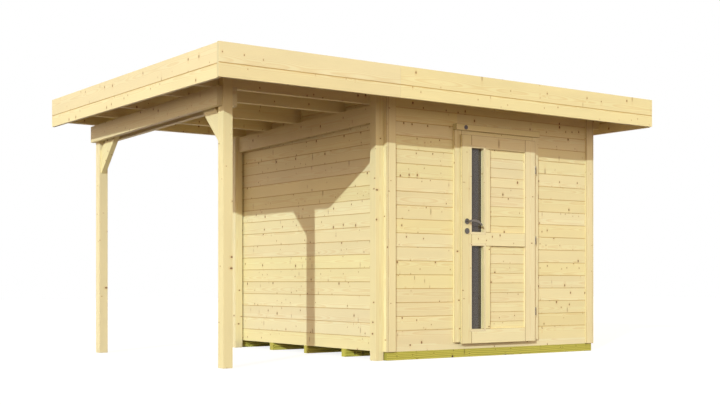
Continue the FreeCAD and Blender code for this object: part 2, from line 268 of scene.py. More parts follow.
def stretched(graph, along, across, seed, lengthways, sideways):
    """The place for a noise that is finer across the board than along it."""
    return graph.vector(graph.math("MULTIPLY", along, lengthways), graph.math("MULTIPLY", across, sideways),
                        seed)


# %% [markdown]
# Knots
#
# A knot is a branch that the saw has cut. Cut square it is a round dark spot, and cut along its length it
# is a spike across the board. Drawing hundreds of them one by one would take days, so each kind is a cell
# pattern in which a share of the cells holds one knot. The rings bend round a knot, and the bend fades out
# at the border of its cell, so that no ring breaks off there.

# %% Knots
ROUND_KNOTS = {"cells": 7.5, "stretch": 1.6, "smallest": 0.0048, "spread": 0.0110}
SPIKE_KNOTS = {"cells": 4.2, "stretch": 4.5, "smallest": 0.018, "spread": 0.034}
BOARD_SPACING = 13.7
WOBBLE_SCALE = 160.0
KNOT_EDGE = (1.0, 0.62)
HALO_EDGE = (2.4, 0.9)
BEND_REACH = 0.05
BORDER_FADE = 0.15


def knots_of(graph, along, across, seed, share, cells, stretch, smallest, spread):
    """One kind of knots: the knot, its halo and the bend of the rings, each from 0 to 1.

    The pattern is squeezed along the board by the stretch, so its knots stand across the board."""
    place = graph.vector(graph.math("MULTIPLY", along, stretch),
                         graph.math("MULTIPLY_ADD", seed, BOARD_SPACING, across))
    pattern = {"Vector": place, "Scale": cells, "Randomness": 0.9}
    found = graph.node("ShaderNodeTexVoronoi", pattern, voronoi_dimensions="2D").outputs
    border = graph.node("ShaderNodeTexVoronoi", pattern, voronoi_dimensions="2D",
                        feature="DISTANCE_TO_EDGE").outputs["Distance"]
    away = graph.math("DIVIDE", found["Distance"], cells)
    wobble = graph.noise(graph.vector(along, across, seed), WOBBLE_SCALE, 1.0)
    away = graph.math("MULTIPLY_ADD", wobble, smallest, away)
    chance, size, _ = graph.split(found["Color"])
    there = graph.math("LESS_THAN", chance, share)
    radius = graph.math("MULTIPLY_ADD", graph.math("POWER", size, 2.0), spread, smallest * 1.5)
    inside = graph.math("DIVIDE", away, radius)
    knot = graph.smooth(inside, *KNOT_EDGE)
    halo = graph.smooth(inside, *HALO_EDGE)
    fade = graph.smooth(border, 0.0, BORDER_FADE)
    bend = graph.math("MULTIPLY", graph.smooth(away, BEND_REACH, 0.0), fade)
    return [graph.math("MULTIPLY", value, there) for value in (knot, halo, bend)]


# %% [markdown]
# Growth rings
#
# Each year a tree adds a wide pale band of early wood and a thin dark one of late wood. Stripes along the
# board would be the simple way to show them, but they look like corduroy. Here a point's ring is its
# distance from the tree's heart, divided by the width of a ring. The heart lies a little behind the face
# and wanders along the board, which draws the flames. On sawn end grain the depth is left out.

# %% Growth rings
HEART_DEPTH = 0.012
HEART_DEPTH_SPREAD = 0.05
HEART_WANDER = 0.05
HEART_SIDE_SPREAD = 0.11
KNOT_PUSH = 0.010
RING_SWAY = 0.012
LATE_WOOD_STARTS = (0.25, 0.85)
LATE_WOOD_ENDS = (1.0, 0.90)


def late_wood_of(graph, along, across, seed, bend, end, width):
    """0 in the pale early wood of each ring, 1 in its darker late wood."""
    slow = graph.vector(graph.math("MULTIPLY", along, 0.55), 0.0, graph.math("MULTIPLY", seed, 31.0))
    depth = graph.math("MULTIPLY_ADD", random_of(graph, seed, 37.1), HEART_DEPTH_SPREAD, HEART_DEPTH)
    depth = graph.math("MULTIPLY_ADD", graph.noise(slow, 1.6, 2.0), HEART_WANDER, depth)
    depth = graph.math("MULTIPLY_ADD", bend, KNOT_PUSH, depth)
    depth = graph.math("MULTIPLY", depth, graph.math("SUBTRACT", 1.0, end))
    heart = random_of(graph, seed, 91.7)
    heart = graph.math("MULTIPLY_ADD", heart, HEART_SIDE_SPREAD, -HEART_SIDE_SPREAD / 2)
    side = graph.math("SUBTRACT", across, heart)
    sway = graph.noise(stretched(graph, along, across, seed, 1.3, 9.0), 1.0, 3.0)
    side = graph.math("MULTIPLY_ADD", sway, RING_SWAY, side)
    squares = graph.math("ADD", graph.math("MULTIPLY", side, side), graph.math("MULTIPLY", depth, depth))
    ring = graph.math("FRACT", graph.math("DIVIDE", graph.math("SQRT", squares), width))
    return graph.math("MULTIPLY", graph.smooth(ring, *LATE_WOOD_STARTS), graph.smooth(ring, *LATE_WOOD_ENDS))


# %% [markdown]
# The wood group
#
# Planed spruce is never one even colour. Fibres streak it, soft clouds lie over it, and each board has a
# tint of its own. Painting one board and repeating it would show at once on a wall of twenty. The group
# mixes these effects over the rings and knots, each with its own small amount, and puts out a colour,
# a roughness and a height for the bump. On the faces of a joint it also multiplies in a darker colour,
# a painted shade that stands for the shade in the groove and the gap.

# %% Wood group
FIBRES = 0.10
CLOUDS = 0.14
SPIKE_STRENGTH = 0.5
HALO_STRENGTH = 0.35
END_GRAIN_DARKER = 0.12
GREEN_SWING = 0.02
BLUE_SWING = 0.15


def board_shade(graph, level, tint, contrast, end):
    """The colour that the wood is multiplied by: a level, with each board a little off in green and blue."""
    swing = graph.math("SUBTRACT", random_of(graph, tint, 17.3), 0.5)
    hue = graph.math("SUBTRACT", random_of(graph, tint, 43.1), 0.5)
    level = graph.math("MULTIPLY_ADD", swing, contrast, level)
    level = graph.math("MULTIPLY", level, graph.math("MULTIPLY_ADD", end, -END_GRAIN_DARKER, 1.0))
    green = graph.math("MULTIPLY", level, graph.math("MULTIPLY_ADD", swing, GREEN_SWING, 1.0))
    blue = graph.math("MULTIPLY", level, graph.math("MULTIPLY_ADD", hue, BLUE_SWING, 1.0))
    return graph.node("ShaderNodeCombineColor", {0: level, 1: green, 2: blue}).outputs[0]


def build_wood_group():
    colours = [("Early Wood", rgb(0.8, 0.7, 0.4)), ("Late Wood", rgb(0.7, 0.5, 0.2)),
               ("Knot Wood", rgb(0.2, 0.1, 0.04)), ("Warm Board", rgb(0.8, 0.65, 0.35)),
               ("Joint Shade", rgb(0.8, 0.7, 0.5))]
    amounts = [("Ring Width", 0.0042), ("Ring Contrast", 0.4), ("Knot Share", 0.3), ("Spike Share", 0.06),
               ("Board Contrast", 0.1)]
    inputs = [("Grain", "Vector", None), ("Board", "Vector", None)]
    inputs += [(label, "Color", value) for label, value in colours]
    inputs += [(label, "Float", value) for label, value in amounts]
    outputs = [("Color", "Color"), ("Roughness", "Float"), ("Height", "Float")]
    group, graph, given, result = new_group("wood grain", inputs, outputs)
    along, across, seed = graph.split(given["Grain"])
    tint, joint, end = graph.split(given["Board"])

    knot, halo, bend = knots_of(graph, along, across, seed, given["Knot Share"], **ROUND_KNOTS)
    spike_seed = random_of(graph, seed, 5.7)
    spike, spike_halo, _ = knots_of(graph, along, across, spike_seed, given["Spike Share"], **SPIKE_KNOTS)
    side_grain = graph.math("SUBTRACT", 1.0, end)
    knot = graph.math("MULTIPLY", knot, side_grain)
    spike = graph.math("MULTIPLY", graph.math("MULTIPLY", spike, side_grain), SPIKE_STRENGTH)
    halo = graph.math("MAXIMUM", halo, graph.math("MULTIPLY", spike_halo, SPIKE_STRENGTH))
    late = late_wood_of(graph, along, across, seed, bend, end, given["Ring Width"])
    fibre = graph.noise(stretched(graph, along, across, seed, 14.0, 620.0), 1.0, 2.0)
    cloud = graph.noise(stretched(graph, along, across, seed, 1.0, 5.0), 1.7, 3.0)

    colour = graph.mix(tint, given["Early Wood"], given["Warm Board"])
    colour = graph.mix(graph.math("MULTIPLY", late, given["Ring Contrast"]), colour, given["Late Wood"])
    colour = graph.mix(graph.math("MULTIPLY", halo, HALO_STRENGTH), colour, given["Late Wood"])
    level = graph.math("MULTIPLY_ADD", fibre, FIBRES, 1 - FIBRES / 2)
    level = graph.math("MULTIPLY_ADD", cloud, CLOUDS, graph.math("SUBTRACT", level, CLOUDS / 2))
    shade = board_shade(graph, level, tint, given["Board Contrast"], end)
    colour = graph.mix(1.0, colour, shade, "MULTIPLY")
    # Painted shade: the faces of a joint are multiplied by the darker joint colour.
    colour = graph.mix(joint, colour, graph.mix(1.0, colour, given["Joint Shade"], "MULTIPLY"))
    colour = graph.mix(spike, colour, given["Knot Wood"])
    graph.feed(result["Color"], graph.mix(knot, colour, given["Knot Wood"]))

    polish = graph.math("MULTIPLY_ADD", knot, -0.12, 0.50)
    graph.feed(result["Roughness"], graph.math("MULTIPLY_ADD", fibre, 0.16, polish))
    height = graph.math("MULTIPLY_ADD", late, 0.45, graph.math("MULTIPLY", fibre, 0.5))
    graph.feed(result["Height"], graph.math("MULTIPLY_ADD", knot, -0.6, height))
    return group


wood_group = build_wood_group()
print("wood grain group:", len(wood_group.nodes), "nodes")

# %% [markdown]
# Wood finishes
#
# A graph for each finish would hold the same nodes nine times. The group serves them all with values of
# their own, so the differences stay in one short table. The shader itself stays in the material, with
# its gloss on its own sockets.

# %% Wood materials
PALE = rgb(0.835, 0.762, 0.470)
WARM = rgb(0.830, 0.735, 0.430)
LATE = rgb(0.720, 0.520, 0.215)
KNOT = rgb(0.230, 0.110, 0.042)
# Painted shade for the faces of a joint: a warm one for the V seams, a darker one for fine joints.
SEAM_SHADE = rgb(0.80, 0.68, 0.52)
FINE_JOINT_SHADE = rgb(0.50, 0.38, 0.26)
WOOD_RELIEF = 0.0006
WOOD_GLOSS = 0.35


def material_with_shader(name):
    material = bpy.data.materials.new(name)
    material.use_nodes = True
    material.node_tree.nodes.clear()
    graph = Graph(material.node_tree)
    shader = graph.node("ShaderNodeBsdfPrincipled")
    graph.node("ShaderNodeOutputMaterial", {"Surface": shader.outputs[0]})
    return material, graph, shader.inputs


def wood(name, early=PALE, late=LATE, knot=KNOT, warm=WARM, joint=SEAM_SHADE, width=0.0042, rings=0.36,
         knots=0.42, spikes=0.09, boards=0.06):
    """A wood finish from the shared group. Its joint colour is the painted shade on its joint faces."""
    material, graph, shader = material_with_shader(name)
    values = {"Early Wood": early, "Late Wood": late, "Knot Wood": knot, "Warm Board": warm,
              "Joint Shade": joint, "Ring Width": width, "Ring Contrast": rings, "Knot Share": knots,
              "Spike Share": spikes, "Board Contrast": boards}
    for label, attribute in (("Grain", "grain"), ("Board", "board")):
        source = graph.node("ShaderNodeAttribute", attribute_name=attribute)
        values[label] = source.outputs["Vector"]
    group = graph.node("ShaderNodeGroup", values, node_tree=wood_group).outputs
    relief = {"Height": group["Height"], "Strength": 0.5, "Distance": WOOD_RELIEF}
    graph.feed(shader["Base Color"], group["Color"])
    graph.feed(shader["Roughness"], group["Roughness"])
    graph.feed(shader["Normal"], graph.node("ShaderNodeBump", relief).outputs[0])
    graph.feed(shader["Specular IOR Level"], WOOD_GLOSS)
    return material


wall_wood = wood("wall boards")
trim_wood = wood("trim boards", knots=0.30, spikes=0.08, knot=rgb(0.33, 0.18, 0.07))
post_wood = wood("posts", knots=0.25, spikes=0.0, rings=0.26, joint=FINE_JOINT_SHADE)
frame_wood = wood("structural timber", knots=0.42, rings=0.30)
door_wood = wood("door timber", knots=0.28, spikes=0.02, rings=0.28, joint=FINE_JOINT_SHADE)
panel_wood = wood("door panel boards", knots=0.34, spikes=0.03, rings=0.32)
roof_wood = wood("roof boards", knots=0.55, early=rgb(0.80, 0.70, 0.42))
floor_wood = wood("floor boards", knots=0.55, early=rgb(0.78, 0.67, 0.40))
treated_wood = wood("treated timber", early=rgb(0.74, 0.68, 0.140), late=rgb(0.30, 0.26, 0.030),
                    knot=rgb(0.05, 0.03, 0.010), warm=rgb(0.60, 0.56, 0.095), width=0.0125, rings=0.8,
                    knots=0.8, boards=0.2)
print("materials so far:", len(bpy.data.materials))

# %% [markdown]
# From a solid to boards
#
# A wall arrives as one solid with the right outline: its top follows the roof, and the rafters' notches
# are cut. Modelling twenty boards by hand would lose that outline. Slicing the solid at each board joint
# keeps it. A slice is open where the plane cut it, so the hole is filled again.

# %% Solids and slices
SAME_PLACE = 1e-5
MERGED = 1e-6
FLAT = math.radians(0.3)
AXES = {"x": Vector((1, 0, 0)), "y": Vector((0, 1, 0)), "z": Vector((0, 0, 1))}


def solid_of(node):
    """The node's solid as an editable mesh, with its flat faces whole again."""
    solid = bmesh.new()
    solid.from_mesh(frame["nodes"][node].data)
    bmesh.ops.remove_doubles(solid, verts=solid.verts, dist=MERGED)
    bmesh.ops.dissolve_limit(solid, angle_limit=FLAT, verts=solid.verts, edges=solid.edges)
    return solid


def kept_between(solid, axis, low, high):
    """The part of a solid between two planes across an axis, closed where it was cut."""
    piece = solid.copy()
    direction = AXES[axis]
    for place, keep_above in ((low, True), (high, False)):
        if place is None:
            continue
        geometry = piece.verts[:] + piece.edges[:] + piece.faces[:]
        bmesh.ops.bisect_plane(piece, geom=geometry, plane_co=direction * place, plane_no=direction,
                               dist=MERGED, clear_inner=keep_above, clear_outer=not keep_above)
        flush = [face for face in piece.faces
                 if all(abs(vertex.co.dot(direction) - place) < SAME_PLACE for vertex in face.verts)]
        bmesh.ops.delete(piece, geom=flush, context="FACES")
        open_edges = [edge for edge in piece.edges if edge.is_boundary]
        bmesh.ops.holes_fill(piece, edges=open_edges, sides=0)
    bmesh.ops.recalc_face_normals(piece, faces=piece.faces)
    return piece


def islands(solid):
    """Each separate solid of a mesh as a mesh of its own."""
    seen = set()
    for first in solid.verts:
        if first in seen:
            continue
        group, todo = [], [first]
        while todo:
            vertex = todo.pop()
            if vertex not in seen:
                seen.add(vertex)
                group.append(vertex)
                todo += [edge.other_vert(vertex) for edge in vertex.link_edges]
        single = bmesh.new()
        copied = {vertex: single.verts.new(vertex.co) for vertex in group}
        for face in solid.faces:
            if face.verts[0] in copied:
                single.faces.new([copied[vertex] for vertex in face.verts])
        single.normal_update()
        yield single
    solid.free()


# %% [markdown]
# Joints and eased edges
#
# A board's long edges are planed off at a slant, and two neighbours then meet in a V. Its other edges are
# only eased with sandpaper. A bump could fake both, but a real bevel catches the light from every side and
# is part of the mesh itself. One segment makes the V, and two round off an eased edge.

# %% Joints and eased edges
EASED = 0.002
SHARP = math.radians(35)


def edges_on_planes(piece, axis, grain, places):
    """Edges that run with the grain and lie on one of the planes across an axis."""
    found = []
    for edge in piece.edges:
        first, second = (vertex.co for vertex in edge.verts)
        run = second - first
        if run.length < SAME_PLACE or abs(run.normalized().dot(AXES[grain])) < 0.99:
            continue
        level = first.dot(AXES[axis])
        flat = abs(level - second.dot(AXES[axis])) < SAME_PLACE
        if flat and any(abs(level - place) < SAME_PLACE for place in places):
            found.append(edge)
    return found


def chamfer_joints(piece, axis, grain, places, size):
    """Slants the joint edges of a board and returns the faces of the slant."""
    edges = edges_on_planes(piece, axis, grain, [place for place in places if place is not None])
    if not edges:
        return []
    made = bmesh.ops.bevel(piece, geom=edges, offset=size, segments=1, affect="EDGES", clamp_overlap=True)
    return made["faces"]


def ease_edges(piece, size=EASED):
    """Rounds off every edge at which two faces meet at a sharp angle."""
    whole = [edge for edge in piece.edges if len(edge.link_faces) == 2]
    sharp = [edge for edge in whole if edge.calc_face_angle() > SHARP]
    bmesh.ops.bevel(piece, geom=sharp, offset=size, segments=2, profile=0.6, affect="EDGES",
                    clamp_overlap=True)


def sloping_faces(piece):
    """The faces that an easing or a chamfer made: they face along none of the axes."""
    return [face for face in piece.faces if max(abs(part) for part in face.normal) < 0.97]


# %% [markdown]
# Boards that share a mesh
#
# A wall could be twenty objects, one for each board, but it is one part and is handled as one. So its
# boards lie in one mesh, still closed and apart from each other. Each board draws a seed, a shift along
# the grain and a tint, and its faces keep them in the two attributes that the wood group reads.

# %% Timber class
draws = random.Random(4233)
FACING_SEED = 0.31


class Timber:
    """Collects boards in one mesh, with the two attributes that the wood group reads."""

    def __init__(self, name):
        self.name = name
        self.mesh = bmesh.new()
        self.grain = self.mesh.loops.layers.float_vector.new("grain")
        self.board = self.mesh.loops.layers.float_vector.new("board")

    def add(self, piece, grain, joint_faces=(), tint=None):
        """Adds one board. Its grain runs along an axis."""
        run = AXES[grain]
        seed = draws.random()
        shift = draws.uniform(0, 20)
        tint = draws.random() if tint is None else tint
        middle = sum([vertex.co for vertex in piece.verts], Vector()) / len(piece.verts)
        joint_shade_faces = {face.index for face in joint_faces}
        copied = {vertex: self.mesh.verts.new(vertex.co) for vertex in piece.verts}
        for face in piece.faces:
            made = self.mesh.faces.new([copied[vertex] for vertex in face.verts])
            end = abs(face.normal.dot(run)) > 0.8
            across = AXES["x" if grain != "x" else "y"] if end else face.normal.cross(run)
            across = across.normalized()
            along = face.normal.cross(across).normalized() if end else run
            facing = max(range(3), key=lambda i: abs(face.normal[i]))
            face_seed = (seed + facing * FACING_SEED) % 1.0
            for loop in made.loops:
                away = loop.vert.co - middle
                loop[self.grain] = Vector((away.dot(along) + shift, away.dot(across), face_seed))
                # The second value marks the faces that get the painted shade of a joint.
                loop[self.board] = Vector((tint, float(face.index in joint_shade_faces), float(end)))
        piece.free()

    def finish(self, material, body, slot, *nodes):
        mesh = bpy.data.meshes.new(self.name)
        self.mesh.normal_update()
        self.mesh.to_mesh(mesh)
        self.mesh.free()
        mesh.materials.append(material)
        piece = bpy.data.objects.new(self.name, mesh)
        bpy.context.scene.collection.objects.link(piece)
        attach(piece, body)
        if nodes:
            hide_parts(*nodes)
        print(self.name, len(mesh.polygons), "faces")


def numbered(piece):
    piece.faces.index_update()
    piece.normal_update()
    return piece


# %% [markdown]
# Sliced and single timbers
#
# The timber of the house comes in two kinds. A layer of like boards has joints at a pitch and is sliced,
# and a single timber only has its edges eased. One helper for each kind keeps every step below short.

# %% Sliced and single timbers
THINNEST_BOARD = 1e-4


def seams(start, pitch, low, high):
    """Board joints at a pitch from a start, inside two limits."""
    number = math.ceil((low - start) / pitch + 1e-6)
    found = []
    while start + number * pitch < high - THINNEST_BOARD:
        found.append(start + number * pitch)
        number += 1
    return found


def board_slices(timber, solid, axis, grain, places, chamfer):
    """Adds the boards of a solid that is sliced at these places along an axis."""
    limits = [None] + list(places) + [None]
    for low, high in zip(limits, limits[1:]):
        piece = kept_between(solid, axis, low, high)
        # The slant of each joint is marked for the painted shade of a joint.
        joint_faces = chamfer_joints(piece, axis, grain, (low, high), chamfer)
        timber.add(numbered(piece), grain, joint_faces)
    solid.free()


def dressed(name, node, grain, material, slot, with_joint_shade=False):
    """A timber with its CAD outline, eased edges and grain along an axis. With joint shade, its eased edges
    get painted shade.
    """
    timber = Timber(name)
    for piece in islands(solid_of(node)):
        ease_edges(piece)
        numbered(piece)
        timber.add(piece, grain, sloping_faces(piece) if with_joint_shade else ())
    timber.finish(material, "house", slot, node)


# %% [markdown]
# Walls
#
# The walls are 28 mm tongue-and-groove boards that cover 115 mm each, laid level and joined in a fine V.
# The side walls' joints lie half a board lower than the front's, as the boards interlock at the corners.
# Only the pitch of the joints and the height of the first one have to be known to slice all of them.

# %% Walls
BOARD = 0.115
WALL_CHAMFER = 0.0032
ground_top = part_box("foundation_beam_1")[1].z
sill_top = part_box("sill_board")[1].z


def wall(name, node, grain, first_joint):
    timber = Timber(name)
    low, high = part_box(node)
    joints = seams(first_joint, BOARD, low.z, high.z)
    board_slices(timber, solid_of(node), "z", grain, joints, WALL_CHAMFER)
    timber.finish(wall_wood, "house", "wall_boards", node)


for side in ("left", "right", "over_door"):
    wall(f"front_boards_{side}", f"front_wall_{side}", "x", sill_top)
wall("front_boards_sill", "sill_board", "x", sill_top)
wall("back_boards", "back_wall", "x", sill_top)
wall("left_boards", "left_wall", "y", ground_top)
wall("right_boards", "right_wall", "y", ground_top)

# %% [markdown]
# Posts, beams, rafters and braces
#
# These are single planed timbers with eased edges. A bevel on every sharp edge catches a thin line of
# light, which a perfectly sharp solid never shows. The grain runs along each timber's length, and on the
# slanting braces it rises or falls with them.

# %% Structural timbers
for node in ("wall_post_front", "wall_post_back", "canopy_post_front", "canopy_post_back"):
    dressed(f"{node}_planed", node, "z", post_wood, "structural_timber")
for node in ("canopy_beam_outer", "canopy_beam_inner", "wall_beam"):
    dressed(f"{node}_planed", node, "y", frame_wood, "structural_timber")
for node in [f"rafter_{i}" for i in range(1, 6)] + ["front_edge_rafter"]:
    dressed(f"{node}_planed", node, "x", frame_wood, "structural_timber")
for node in [f"foundation_beam_{i}" for i in range(1, 6)]:
    dressed(f"{node}_treated", node, "x", treated_wood, "treated_timber")
AXES["rising"] = Vector((0, 1, 1)).normalized()
AXES["falling"] = Vector((0, 1, -1)).normalized()
for node, grain in (("brace_front", "rising"), ("brace_back", "falling")):
    dressed(f"{node}_planed", node, grain, frame_wood, "structural_timber")

# %% [markdown]
# Roof and floor
#
# The roof is a layer of boards that run from front to back. Their joints show from below, between the
# rafters. The floor's boards run along the front. Both are sliced as the walls are. The eaves board that
# closes the back of the roof is a single timber.

# %% Roof boards and floor
ROOF_BOARD = 0.121
FLOOR_BOARD = 0.096
DECK_CHAMFER = 0.003


def deck(name, node, axis, grain, pitch, material, slot):
    timber = Timber(name)
    start, end = (corner.dot(AXES[axis]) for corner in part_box(node))
    board_slices(timber, solid_of(node), axis, grain, seams(start, pitch, start, end), DECK_CHAMFER)
    timber.finish(material, "house", slot, node)


deck("roof_boards_laid", "roof_boards", "x", "y", ROOF_BOARD, roof_wood, "roof_boards")
deck("floor_boards_laid", "floor_deck", "y", "x", FLOOR_BOARD, floor_wood, "floor_boards")
dressed("rear_eaves_planed", "rear_eaves_board", "x", trim_wood, "trim_boards")

# %% [markdown]
# Fascia
#
# The fascia hides the roof's edge. It is two boards high on the front and both sides, and on the front
# each board is in two lengths. Its boards already have their solids, so nothing is sliced here.
# Only the joint between the two rows is slanted, as it is the line that shows from afar. Its slant gets
# the painted shade of a joint.

# %% Fascia boards
FASCIA_CHAMFER = 0.004


def fascia(node, grain, upper):
    """One row of the fascia, with a chamfer where it meets the other row."""
    timber = Timber(f"{node}_planed")
    low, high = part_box(node)
    joint = low.z if upper else high.z
    for piece in islands(solid_of(node)):
        joint_faces = chamfer_joints(piece, "z", grain, [joint], FASCIA_CHAMFER)
        timber.add(numbered(piece), grain, joint_faces)
    timber.finish(trim_wood, "house", "trim_boards", node)


for side, grain in (("front", "x"), ("left", "y"), ("right", "y")):
    for level in ("upper", "lower"):
        fascia(f"{side}_fascia_{level}", grain, level == "upper")

# %% [markdown]
# Corner trims
#
# A corner trim covers the boards' ends. It is two boards that meet at the corner. The side board covers
# the edge of the front one, and the fine joint between them shows from the front. The solid is an L,
# so one cut at the side board's thickness parts it into its two boards.

# %% Corner trims
TRIM_THICKNESS = 0.015


def corner_trim(node, left):
    """The L of a corner trim, parted into its two boards."""
    low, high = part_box(node)
    joint = low.x + TRIM_THICKNESS if left else high.x - TRIM_THICKNESS
    timber = Timber(f"{node}_boards")
    solid = solid_of(node)
    for limits in ((None, joint), (joint, None)):
        piece = kept_between(solid, "x", *limits)
        ease_edges(piece)
        numbered(piece)
        # The eased edges get the painted shade of a fine joint.
        timber.add(piece, "z", sloping_faces(piece))
    solid.free()
    timber.finish(post_wood, "house", "trim_boards", node)


for end in ("front", "back"):
    for side in ("left", "right"):
        corner_trim(f"corner_trim_{end}_{side}", side == "left")

# %% [markdown]
# Door frame
#
# Each jamb is a channel round the ends of the wall boards: an outer casing, the lining and an inner
# casing. The head closes it above, and a thicker board over it throws the rain off the door. Where they
# touch each other and the boards, shade falls in fine lines, so their eased edges are painted with the
# shade of a joint.

# %% Jambs, head, threshold and drip board
for node in ("door_jamb_left", "door_jamb_right"):
    dressed(f"{node}_cased", node, "z", post_wood, "trim_boards", with_joint_shade=True)
dressed("door_head_planed", "door_head", "x", post_wood, "trim_boards", with_joint_shade=True)
dressed("door_threshold_planed", "door_threshold", "x", trim_wood, "trim_boards")
dressed("door_drip_board_planed", "door_drip_board", "x", post_wood, "trim_boards", with_joint_shade=True)

# %% [markdown]
# Door leaf
#
# The leaf is a frame of stiles and rails in two layers. The front layer laps over the casing, and the
# layer behind it fills the opening. The stiles run from bottom to top, the rails sit between them, and
# a mullion parts the glass from the panel. Slicing the solid would cut stiles and rails alike, so each
# member is a block of its own with its own grain, and its eased edges, painted with the shade of a joint,
# draw the joints. The panes and panels give the places: their edges sit in grooves.

# %% Leaf frame
GROOVE = 0.008
FLANGE = 0.020
REBATE_SIDE = 0.021
REBATE_TOP = 0.021
REBATE_BOTTOM = 0.0365
FRONT_EASED = 0.0026
BACK_EASED = 0.0010
LEAF_TINTS = (0.2, 0.7)
leaf_low, leaf_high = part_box("door_leaf_frame")


def fields_of(node):
    """The clear openings in front of the panes or panels, lower one first, as (x, z) limits."""
    found = []
    for piece in islands(solid_of(node)):
        x = [vertex.co.x for vertex in piece.verts]
        z = [vertex.co.z for vertex in piece.verts]
        found.append(((min(x) + GROOVE, max(x) - GROOVE), (min(z) + GROOVE, max(z) - GROOVE)))
        piece.free()
    return sorted(found, key=lambda field: field[1])


def leaf_members():
    """The limits of each member of the leaf along X and Z, with the direction of its grain."""
    (window, lower), (_, upper) = fields_of("door_glass")
    panel = fields_of("door_panels")[0][0]
    full = (leaf_low.z, leaf_high.z)
    between = (window[0], panel[1])
    mullion = (window[1], panel[0])
    return [
        ((leaf_low.x, window[0]), full, "z"), ((panel[1], leaf_high.x), full, "z"),
        (between, (full[0], lower[0]), "x"), (between, (lower[1], upper[0]), "x"),
        (between, (upper[1], full[1]), "x"), (mullion, lower, "z"), (mullion, upper, "z"),
    ]


def block(x, y, z):
    """A plain block between limits, ready to have its edges eased."""
    made = bmesh.new()
    bmesh.ops.create_cube(made, size=1.0)
    for vertex in made.verts:
        limits = zip((x, y, z), vertex.co)
        vertex.co = Vector([low if place < 0 else high for (low, high), place in limits])
    return made


def leaf_frame():
    timber = Timber("door_leaf_joined")
    seam = leaf_low.y + FLANGE
    for x, z, grain in leaf_members():
        tint = draws.uniform(*LEAF_TINTS)
        inner_x = (max(x[0], leaf_low.x + REBATE_SIDE), min(x[1], leaf_high.x - REBATE_SIDE))
        inner_z = (max(z[0], leaf_low.z + REBATE_BOTTOM), min(z[1], leaf_high.z - REBATE_TOP))
        front = (x, (leaf_low.y, seam), z)
        behind = (inner_x, (seam, leaf_high.y), inner_z)
        for limits, easing in ((front, FRONT_EASED), (behind, BACK_EASED)):
            layer = block(*limits)
            ease_edges(layer, easing)
            numbered(layer)
            timber.add(layer, grain, sloping_faces(layer), tint)
    timber.finish(door_wood, "door", "door_timber", "door_leaf_frame")


leaf_frame()

# %% [markdown]
# Glazing beads
#
# Thin strips hold each pane in place and frame it on both faces of the leaf. They are mitred, so their
# ends meet at 45 degrees. Cutting a plain block at a slant would do, but an outline of four corners
# with a thickness is simpler and gives the mitre at once.

# %% Glazing beads
BEAD_WIDTH = 0.021
BEAD_PROUD = 0.0015
BEAD_SUNK = 0.001
BEAD_EASED = 0.0006
BEAD_TINT = 0.3


def bead(timber, corners, face, out, grain):
    """One mitred strip. The corners run round its outline as (x, z), the first two along the glass."""
    mesh = bmesh.new()
    near = [mesh.verts.new((x, face - out * BEAD_SUNK, z)) for x, z in corners]
    far = [mesh.verts.new((x, face + out * BEAD_PROUD, z)) for x, z in corners]
    mesh.faces.new(near)
    mesh.faces.new(far)
    for i in range(4):
        j = (i + 1) % 4
        mesh.faces.new((near[i], near[j], far[j], far[i]))
    bmesh.ops.recalc_face_normals(mesh, faces=mesh.faces)
    ease_edges(mesh, BEAD_EASED)
    numbered(mesh)
    # The eased edges get the painted shade of a fine joint.
    timber.add(mesh, grain, sloping_faces(mesh), BEAD_TINT)


def glazing_beads():
    """Four mitred beads round each window, on both faces of the leaf."""
    timber = Timber("door_glazing_beads")
    w = BEAD_WIDTH
    for (left, right), (bottom, top) in fields_of("door_glass"):
        sides = (
            ("z", [(left, bottom), (left, top), (left - w, top + w), (left - w, bottom - w)]),
            ("z", [(right, bottom), (right, top), (right + w, top + w), (right + w, bottom - w)]),
            ("x", [(left, bottom), (right, bottom), (right + w, bottom - w), (left - w, bottom - w)]),
            ("x", [(left, top), (right, top), (right + w, top + w), (left - w, top + w)]),
        )
        for face, out in ((leaf_low.y, -1), (leaf_high.y, 1)):
            for grain, corners in sides:
                bead(timber, corners, face, out, grain)
    timber.finish(door_wood, "door", "door_timber")


glazing_beads()

# %% [markdown]
# Door panels
#
# The two panels are filled with narrow boards that lie level, like the walls' boards but 84 mm high.
# The same slicing serves them, with the first joint a little lower, because the rail covers part
# of the lowest board.

# %% Panel boards
PANEL_BOARD = 0.084
PANEL_FIRST = 0.067
PANEL_CHAMFER = 0.0025


def panels():
    timber = Timber("door_panel_boards")
    for piece in islands(solid_of("door_panels")):
        heights = [vertex.co.z for vertex in piece.verts]
        low, high = min(heights), max(heights)
        joints = seams(low + PANEL_FIRST, PANEL_BOARD, low + GROOVE, high)
        board_slices(timber, piece, "z", "x", joints, PANEL_CHAMFER)
    timber.finish(panel_wood, "door", "door_timber", "door_panels")


panels()

# %% [markdown]
# Steel, membrane and disc
#
# The handle, plates and hinges are satin steel. The levers have a lighter copy of it, a painted highlight
# that brightens them, and the hinges a warmer one.
# The roof membrane is a matt black sheet with faint dust, and the disc over the door is plain.
# One even colour would make them look cut out of paper. A fine speckle that shifts the colour, the
# roughness and the surface a little is shared by all of them, as a second group.

